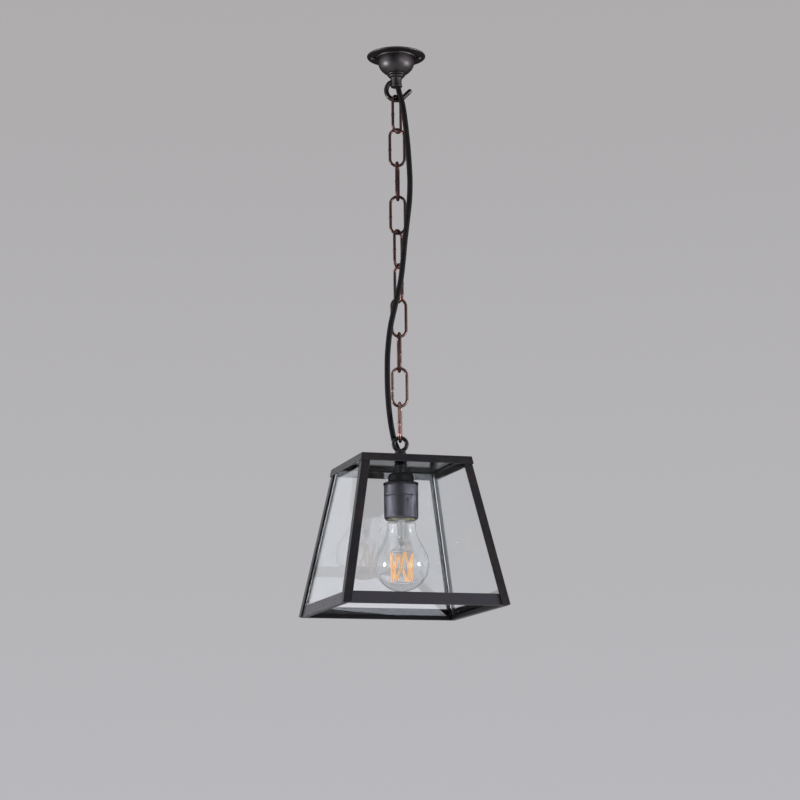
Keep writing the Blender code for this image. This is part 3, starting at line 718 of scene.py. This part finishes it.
def screwTree():
    tree, given = newTree("screwMaker", {
        "Head": "Float", "Shank": "Float", "Apart": "Float", "Face": "Float", "End": "Float",
        "Turn": "Float", "Finish": "Material"})
    dome = addNode(tree, "GeometryNodeMeshUVSphere", {
        "Segments": 40, "Rings": 24, "Radius": given["Head"]})
    dome = addNode(tree, "GeometryNodeTransform", {
        "Geometry": dome.outputs["Mesh"], "Scale": (1.0, 1.0, 0.78)})
    above = addNode(tree, "GeometryNodeMeshCube", {"Size": (0.02, 0.02, 0.02)})
    above = addNode(tree, "GeometryNodeTransform", {
        "Geometry": above.outputs["Mesh"], "Translation": (0.0, 0.0, 0.01)})
    groove = addNode(tree, "GeometryNodeMeshCube", {"Size": (0.0080, 0.0009, 0.0024)})
    groove = addNode(tree, "GeometryNodeTransform", {
        "Geometry": groove.outputs["Mesh"], "Translation": (0.0, 0.0, -0.0026),
        "Rotation": (0.0, 0.0, 0.6)})
    head = addNode(tree, "GeometryNodeMeshBoolean", {0: dome.outputs[0]}, operation="DIFFERENCE",
                   solver="EXACT")
    for cutter in (above, groove):
        tree.links.new(cutter.outputs[0], head.inputs["Mesh 2"])
    across = addNode(tree, "ShaderNodeMath", {0: given["End"], 1: given["Face"]},
                     operation="SUBTRACT")
    shank = addNode(tree, "GeometryNodeMeshCylinder", {
        "Vertices": 24, "Radius": given["Shank"], "Depth": across.outputs[0]})
    middle = addNode(tree, "ShaderNodeMath", {0: across.outputs[0], 1: 0.5}, operation="MULTIPLY")
    lift = addNode(tree, "ShaderNodeCombineXYZ", {"Z": middle.outputs[0]})
    shank = addNode(tree, "GeometryNodeTransform", {
        "Geometry": shank.outputs["Mesh"], "Translation": lift.outputs[0]})
    screw = addNode(tree, "GeometryNodeJoinGeometry")
    for part in (shank, head):
        tree.links.new(part.outputs[0], screw.inputs[0])
    first = addNode(tree, "ShaderNodeMath", {0: given["Apart"], 1: -0.5}, operation="MULTIPLY")
    start = addNode(tree, "ShaderNodeCombineXYZ", {"X": first.outputs[0], "Z": given["Face"]})
    step = addNode(tree, "ShaderNodeCombineXYZ", {"X": given["Apart"]})
    line = addNode(tree, "GeometryNodeMeshLine", {
        "Count": 2, "Start Location": start.outputs[0], "Offset": step.outputs[0]})
    copies = addNode(tree, "GeometryNodeInstanceOnPoints", {
        "Points": line.outputs["Mesh"], "Instance": screw.outputs[0]})
    turn = addNode(tree, "ShaderNodeCombineXYZ", {"Z": given["Turn"]})
    whole = addNode(tree, "GeometryNodeTransform", {
        "Geometry": copies.outputs[0], "Rotation": turn.outputs[0]})
    endTree(tree, whole.outputs[0], given["Finish"])
    return tree


def addScrews():
    mesh = bakedTree(screwTree(), plateScrews)
    smoothShade(mesh, 30)
    mesh.materials.clear()
    place(mesh, "plateScrews", "ceiling_fitting", bronze,
          ["plate_screw_left", "plate_screw_right"])


addPlate()
addHook()
addScrews()
print("ceiling plate, hook and screws made")

# chain

chain = {"wire": 0.0016, "width": 0.0195, "weld": 1.18, "weldPlace": 0.40}


def linkTree():
    tree, given = newTree("linkMaker", {
        "Width": "Float", "Length": "Float", "Wire": "Float", "Weld": "Float",
        "Weld Place": "Float", "Middle": "Vector", "Turn": "Float", "Finish": "Material"})
    box = addNode(tree, "GeometryNodeCurvePrimitiveQuadrilateral",
                  {"Width": given["Width"], "Height": given["Length"]})
    bend = addNode(tree, "ShaderNodeMath", {0: given["Width"], 1: 0.4999}, operation="MULTIPLY")
    loop = addNode(tree, "GeometryNodeFilletCurve", {
        "Curve": box.outputs[0], "Count": 16, "Radius": bend.outputs[0]}, mode="POLY")
    loop = addNode(tree, "GeometryNodeResampleCurve", {"Curve": loop.outputs[0], "Count": 112})
    along = addNode(tree, "GeometryNodeSplineParameter").outputs["Factor"]
    off = addNode(tree, "ShaderNodeMath", {0: along, 1: given["Weld Place"]},
                  operation="SUBTRACT")
    off = addNode(tree, "ShaderNodeMath", {0: off.outputs[0]}, operation="ABSOLUTE")
    swell = addNode(tree, "ShaderNodeMapRange", {
        "Value": off.outputs[0], "From Min": 0.006, "From Max": 0.022,
        "To Min": given["Weld"], "To Max": 1.0}, interpolation_type="SMOOTHSTEP").outputs["Result"]
    loop = addNode(tree, "GeometryNodeSetCurveRadius", {
        "Curve": loop.outputs[0], "Radius": swell})
    section = addNode(tree, "GeometryNodeCurvePrimitiveCircle", {
        "Resolution": 20, "Radius": given["Wire"]})
    wire = addNode(tree, "GeometryNodeCurveToMesh", {
        "Curve": loop.outputs[0], "Profile Curve": section.outputs[0]})
    if "Scale" in wire.inputs:
        tree.links.new(swell, wire.inputs["Scale"])
    # drawn flat in X and Y, then stood up with its width along its own direction
    turn = addNode(tree, "ShaderNodeCombineXYZ", {"X": math.pi / 2, "Z": given["Turn"]})
    whole = addNode(tree, "GeometryNodeTransform", {
        "Geometry": wire.outputs[0], "Translation": given["Middle"], "Rotation": turn.outputs[0]})
    endTree(tree, whole.outputs[0], given["Finish"])
    return tree


def addChain():
    tree = linkTree()
    for number in range(1, 11):
        node = f"chain_link_{number:02d}"
        low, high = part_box(node)
        below = hinges[number]["axis"]  # the next joint's axis lies along this link's wire
        mesh = bakedTree(tree, {
            "Width": chain["width"] - 2 * chain["wire"],
            "Length": high.z - low.z - 2 * chain["wire"],
            "Wire": chain["wire"], "Weld": chain["weld"], "Weld Place": chain["weldPlace"],
            "Middle": (low + high) / 2, "Turn": math.atan2(below[1], below[0]),
            "Finish": copper})
        mesh.materials.clear()
        smoothShade(mesh, 60)
        place(mesh, f"chainLink{number:02d}", node, copper, [node])


addChain()
print("chain made")

# the glass box

glassBox = {"fold": 0.00045, "paneEdge": 0.0004, "broadFace": 0.002}  # the last in square metres
boxTop = -0.470  # the top cap's upper face
corners = ("front_right", "back_right", "back_left", "front_left")
sides = ("right", "back", "left", "front")


def fromTop(outline):
    return [(radius, boxTop + height) for radius, height in outline]


def addFrame():
    folded = ["top_cap", *[f"corner_post_{corner}" for corner in corners],
              *[f"bottom_rail_{side}" for side in sides]]
    for node in folded:
        mesh = bevelled(copyOfNode(node), glassBox["fold"], 3, edgeSlot=1)
        words = node.split("_")
        name = words[0] + "".join(w.capitalize() for w in words[1:])
        finish = lighterRailPaint if words[0] == "bottom" else paint
        shadedFinish = glossShadePaint if words[0] == "top" else innerShadePaint
        for face in mesh.polygons:  # painted shade: faces turned down, and on the bottom rails faces turned inward, take a darker copy of the paint
            away = Vector((face.center.x, face.center.y, 0)).normalized()
            inward = words[0] == "bottom" and face.normal.dot(away) < -0.3
            if face.normal.z < -0.9 or inward:
                face.material_index = 2
        place(mesh, name, "lantern", [finish, paintEdge, shadedFinish], [node])


def addPanes():
    for side in sides:
        node = f"glass_pane_{side}"
        mesh = bevelled(copyOfNode(node), glassBox["paneEdge"], 2, edgeSlot=1)
        for face in mesh.polygons:  # the two broad faces are clear, and the rest is cut edge
            if face.area < glassBox["broadFace"]:
                face.material_index = 1
        place(mesh, "glassPane" + side.capitalize(), "lantern", [paneGlass, paneEdge], [node])


loopEye = {"wire": 0.0022, "radius": 0.0072, "height": 0.0210, "steps": 72, "sides": 24}


def addLoop():
    foot = flowing([(0.0040, 0.0143), (0.0056, 0.0131), (0.0063, 0.0115), (0.0066, 0.0095),
                    (0.0062, 0.0070), (0.0066, 0.0040), (0.0074, 0.0020)], 4)
    outline = [(0.0, 0.0150), *foot, (0.0075, 0.0012), (0.0074, 0.0004), (0.0070, 0.0003),
               (0.0, 0.0003)]
    base = turnedMesh("foot", fromTop(outline), 64)
    ring = bmesh.new()
    rows = []
    for i in range(loopEye["steps"]):
        turn = math.tau * i / loopEye["steps"]
        row = []
        for j in range(loopEye["sides"]):
            roll = math.tau * j / loopEye["sides"]
            reach = loopEye["radius"] + loopEye["wire"] * math.cos(roll)
            spot = Vector((reach * math.cos(turn), loopEye["wire"] * math.sin(roll),
                           boxTop + loopEye["height"] + reach * math.sin(turn)))
            row.append(ring.verts.new(turnMatrix @ spot))
        rows.append(row)
    for a, b in zip(rows, [*rows[1:], rows[0]]):
        for first, second, third, fourth in zip(a, [*a[1:], a[0]], [*b[1:], b[0]], b):
            ring.faces.new((first, second, third, fourth))
    bmesh.ops.recalc_face_normals(ring, faces=ring.faces)
    eye = bpy.data.meshes.new("eye")
    ring.to_mesh(eye)
    ring.free()
    mesh = cutMesh(cutMesh(base, [eye], "UNION"), [flexCutter("wireway", -0.4300, -0.4720)])
    place(mesh, "hangingLoop", "lantern", paint, ["hanging_loop"])


addFrame()
addPanes()
addLoop()
print("glass box made")

# lampholder and its fittings


def rounded(points, radius, steps=3):
    # the outline with each corner cut to a small round
    soft = [points[0]]
    for before, corner, after in zip(points, points[1:], points[2:]):
        a, b, c = Vector(before), Vector(corner), Vector(after)
        first = min(radius, (a - b).length * 0.4)
        second = min(radius, (c - b).length * 0.4)
        start, end = b + (a - b).normalized() * first, b + (c - b).normalized() * second
        for i in range(steps + 1):
            t = i / steps
            soft.append(tuple((1 - t) ** 2 * start + 2 * t * (1 - t) * b + t ** 2 * end))
    return [*soft, points[-1]]


holder = {"radius": 0.01875, "wall": 0.0012, "seamTurn": -69, "seam": (0.0030, 0.00035, 0.050),
          "bore": 0.0052, "lipEnd": -0.0254, "grubHole": 0.0017, "grub": 0.0012}


def addHolder():
    out, inside = holder["radius"], holder["radius"] - holder["wall"]
    bore = holder["bore"]
    cap = rounded([(bore, -0.0113), (0.0075, -0.0113), (0.0110, -0.0120), (0.0133, -0.0134),
                   (0.01425, -0.0152), (0.01425, -0.0210), (0.0150, -0.0222),
                   (0.0138, -0.0222), (0.01305, -0.0210), (0.01305, -0.0155), (0.0123, -0.0143),
                   (0.0105, -0.0132), (0.0075, -0.0125), (bore, -0.0125)], 0.0007)
    place(turnedMesh("holderCap", fromTop(cap), 96), "holderCap", "lantern", darkCap,
          ["holder_cap"])
    shell = rounded([(0.0122, -0.0225), (0.0186, -0.0225), (0.0194, -0.0230),
                     (0.0196, -0.0240), (0.0193, -0.0249), (0.0186, -0.0252),
                     (0.0184, -0.0255), (out, -0.0259), (out, -0.0371),
                     (inside, -0.0371), (inside, -0.0238), (0.0122, -0.0237)], 0.0003)
    # an upright seam in both shells
    seam = Matrix.Rotation(math.radians(holder["seamTurn"]), 3, "Z") @ Vector((1, 0, 0))
    slit = bpy.data.meshes.new("slit")
    shape = bmesh.new()
    bmesh.ops.create_cube(shape, size=1, matrix=Matrix.LocRotScale(
        seam * out + Vector((0, 0, boxTop - 0.0420)), seam.to_track_quat("X", "Z"),
        holder["seam"]))
    shape.to_mesh(slit)
    shape.free()
    mesh = cutMesh(turnedMesh("holderShell", fromTop(shell), 96), [slit.copy()])
    for face in mesh.polygons:  # the lip is darker than the shell below it
        if face.center.z > boxTop + holder["lipEnd"]:
            face.material_index = 1
    place(mesh, "holderShell", "lantern", [gunmetal, lipMetal], ["holder_upper_shell"])
    skirt = rounded([(inside, -0.0376), (out, -0.0376), (out, -0.0604), (0.0184, -0.0614),
                     (0.0169, -0.0634), (0.0157, -0.0634), (0.0173, -0.0608),
                     (inside, -0.0598)], 0.0004)
    low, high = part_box("holder_grub_screw")
    middle = (low + high) / 2
    outward = Vector((middle.x, middle.y, 0)).normalized()
    hole = tubeMesh("hole", [middle - outward * 0.006, middle + outward * 0.006],
                    holder["grubHole"], 24)
    mesh = cutMesh(turnedMesh("holderSkirt", fromTop(skirt), 96), [hole, slit])
    place(mesh, "holderSkirt", "lantern", gunmetal, ["holder_skirt"])
    grub = tubeMesh("grubScrew", [middle - outward * 0.0012, middle - outward * 0.0004, middle],
                    [holder["grub"], holder["grub"], holder["grub"] - 0.0002], 20)
    place(grub, "grubScrew", "lantern", darkCap, ["holder_grub_screw"])
    for node in ("stem_nut", "lock_nut"):
        mesh = bevelled(copyOfNode(node), 0.00035, 2)
        name = node.split("_")[0] + "Nut"
        finish, slot = (darkCap, "frame_metal") if node == "stem_nut" else (steel, "plated_steel")
        place(mesh, name, "lantern", finish, [node])
    tube = rounded([(bore, -0.0042), (0.0062, -0.0042), (0.0062, -0.0110), (bore, -0.0110)],
                   0.0003)
    place(turnedMesh("spacerTube", fromTop(tube), 64), "spacerTube", "lantern", tubeMetal,
          ["spacer_tube"])
    socket = rounded([(0.0142, -0.0369), (0.0142, -0.0598), (0.0149, -0.0616),
                      (0.0153, -0.0629), (0.0149, -0.0630), (0.0143, -0.0618),
                      (0.0136, -0.0600), (0.0136, -0.0369)], 0.0002)
    place(turnedMesh("screwShell", fromTop(socket), 96), "screwShell", "lantern", brass,
          ["screw_shell"])


addHolder()
print("lampholder made")

# lamp

lamp = {"radius": 0.0300, "middle": -0.1120, "wall": 0.0006}
filaments = {"Count": 8, "Ring": 0.0122, "Top": boxTop - 0.0985, "Bottom": boxTop - 0.1325,
             "Thickness": 0.00115, "End Thickness": 0.0006, "Coat": phosphor, "Metal": steel}


def lampOutline(inset):
    neck = flowing([(0.0122, -0.0606), (0.0122, -0.0643), (0.0140, -0.0652), (0.0156, -0.0668),
                    (0.0159, -0.0715), (0.0165, -0.0763), (0.0183, -0.0818), (0.0213, -0.0887),
                    (0.0243, -0.0941)], 4)
    ball = list(arcPoints((0, lamp["middle"]), lamp["radius"] - inset, 25, -90, 36))
    return [*[(p[0] - inset, p[1]) for p in neck], *ball[:-1], (0.0, ball[-1][1])]


def addLampGlass():
    outline = [*reversed(lampOutline(lamp["wall"])), *lampOutline(0)]
    mesh = turnedMesh("lampGlass", fromTop(outline), 112)
    place(mesh, "lampGlass", "bulb", lampGlass, ["bulb_glass"])
    outside = flowing([(0.0100, -0.0612), (0.0088, -0.0622), (0.0060, -0.0640),
                       (0.0046, -0.0670), (0.0044, -0.0760), (0.0043, -0.0840),
                       (0.0034, -0.0880), (0.0022, -0.0905), (0.0014, -0.0930)], 5)
    inside = flowing([(0.0004, -0.0885), (0.0022, -0.0868), (0.0034, -0.0830),
                      (0.0036, -0.0760), (0.0038, -0.0675), (0.0053, -0.0644),
                      (0.0084, -0.0628), (0.0092, -0.0618)], 5)
    outline = [*outside, (0.0013, -0.1150), (0.0016, -0.1165), (0.0010, -0.1180),
               (0.0, -0.1182), (0.0, -0.0887), *inside]
    place(turnedMesh("lampStem", fromTop(outline), 40), "lampStem", "bulb", lampGlass,
          ["bulb_stem"])


def addLampCap():
    thread = [(0.0122, -0.0432)]
    for i in range(28):  # four rings of rolled thread
        swing = 0.5 + 0.5 * math.cos(math.tau * i / 27 * 4)
        thread.append((0.01215 + 0.0009 * (1 - swing), -0.0438 - i * 0.0144 / 27))
    outline = [*thread, (0.0126, -0.0588), (0.0130, -0.0596), (0.0133, -0.0640),
               (0.0128, -0.0640), (0.0126, -0.0600), (0.0117, -0.0590), (0.0117, -0.0438),
               (0.0114, -0.0432)]
    place(turnedMesh("lampCap", fromTop(outline), 80), "lampCap", "bulb", brass, ["bulb_cap"])


def filamentTree():
    # a zigzag ring: each of its edges becomes a filament with two metal ends
    tree, given = newTree("filamentMaker", {
        "Count": "Int", "Ring": "Float", "Top": "Float", "Bottom": "Float", "Thickness": "Float",
        "End Thickness": "Float", "Coat": "Material", "Metal": "Material"})
    ring = addNode(tree, "GeometryNodeMeshCircle", {
        "Vertices": given["Count"], "Radius": given["Ring"]})
    index = addNode(tree, "GeometryNodeInputIndex").outputs[0]
    odd = addNode(tree, "ShaderNodeMath", {0: index, 1: 2.0}, operation="MODULO").outputs[0]
    height = addNode(tree, "ShaderNodeMapRange", {
        "Value": odd, "To Min": given["Top"], "To Max": given["Bottom"]}).outputs["Result"]
    offset = addNode(tree, "ShaderNodeCombineXYZ", {"Z": height}).outputs[0]
    zigzag = addNode(tree, "GeometryNodeSetPosition", {
        "Geometry": ring.outputs[0], "Offset": offset})
    apart = addNode(tree, "GeometryNodeSplitEdges", {"Mesh": zigzag.outputs[0]})
    lines = addNode(tree, "GeometryNodeMeshToCurve", {0: apart.outputs[0]}).outputs[0]
    made = []
    for start, end, size, finish in ((0.05, 0.95, "Thickness", "Coat"),
                                     (0.015, 0.05, "End Thickness", "Metal"),
                                     (0.95, 0.985, "End Thickness", "Metal")):
        cut = addNode(tree, "GeometryNodeTrimCurve", {"Curve": lines, "Start": start, "End": end},
                      mode="FACTOR")
        section = addNode(tree, "GeometryNodeCurvePrimitiveCircle", {
            "Resolution": 14, "Radius": given[size]})
        rod = addNode(tree, "GeometryNodeCurveToMesh", {
            "Curve": cut.outputs[0], "Profile Curve": section.outputs[0], "Fill Caps": True})
        made.append(addNode(tree, "GeometryNodeSetMaterial", {
            "Geometry": rod.outputs[0], "Material": given[finish]}))
    for end, lift in (("Top", 0.0006), ("Bottom", -0.0006)):
        wire = addNode(tree, "GeometryNodeCurvePrimitiveCircle", {
            "Resolution": 64, "Radius": given["Ring"]})
        raised = addNode(tree, "ShaderNodeMath", {0: given[end], 1: lift}, operation="ADD")
        where = addNode(tree, "ShaderNodeCombineXYZ", {"Z": raised.outputs[0]})
        wire = addNode(tree, "GeometryNodeTransform", {
            "Geometry": wire.outputs[0], "Translation": where.outputs[0]})
        section = addNode(tree, "GeometryNodeCurvePrimitiveCircle", {
            "Resolution": 8, "Radius": 0.0004})
        rod = addNode(tree, "GeometryNodeCurveToMesh", {
            "Curve": wire.outputs[0], "Profile Curve": section.outputs[0]})
        made.append(addNode(tree, "GeometryNodeSetMaterial", {
            "Geometry": rod.outputs[0], "Material": given["Metal"]}))
    joined = addNode(tree, "GeometryNodeJoinGeometry")
    for part in made:
        tree.links.new(part.outputs[0], joined.inputs[0])
    whole = addNode(tree, "GeometryNodeRealizeInstances", {"Geometry": joined.outputs[0]})
    addNode(tree, "NodeGroupOutput", {0: whole.outputs[0]})
    return tree


def addFilaments():
    mesh = bakedTree(filamentTree(), filaments)
    smoothShade(mesh, 50)
    place(mesh, "filaments", "bulb", [], [f"led_filament_{i}" for i in range(1, 9)])
    for node, side in (("lead_wire_live", 0), ("lead_wire_neutral", math.pi)):
        away = Vector((math.cos(side), math.sin(side), 0))
        line = flowing([away * reach + Vector((0, 0, boxTop - depth)) for reach, depth in (
            (0.0030, 0.0880), (0.0050, 0.0930), (0.0078, 0.0955), (0.0122, 0.0972))], 6)
        name = "leadWire" + node.split("_")[-1].capitalize()
        place(tubeMesh(name, line, 0.00042, 12), name, "bulb", steel, [node])


addLampGlass()
addLampCap()
addFilaments()
print("lamp made")

# the CAD nodes that stay as they are

stays = {"stem_tube": steel, "holder_core": ceramic, "centre_contact": brass,
         "live_terminal": brass, "neutral_terminal": brass, "bulb_insulator": blackGlass,
         "bulb_contact": brass}
for node, finish in stays.items():
    frame["nodes"][node].data.materials.clear()
    frame["nodes"][node].data.materials.append(finish)

print("all pieces made")
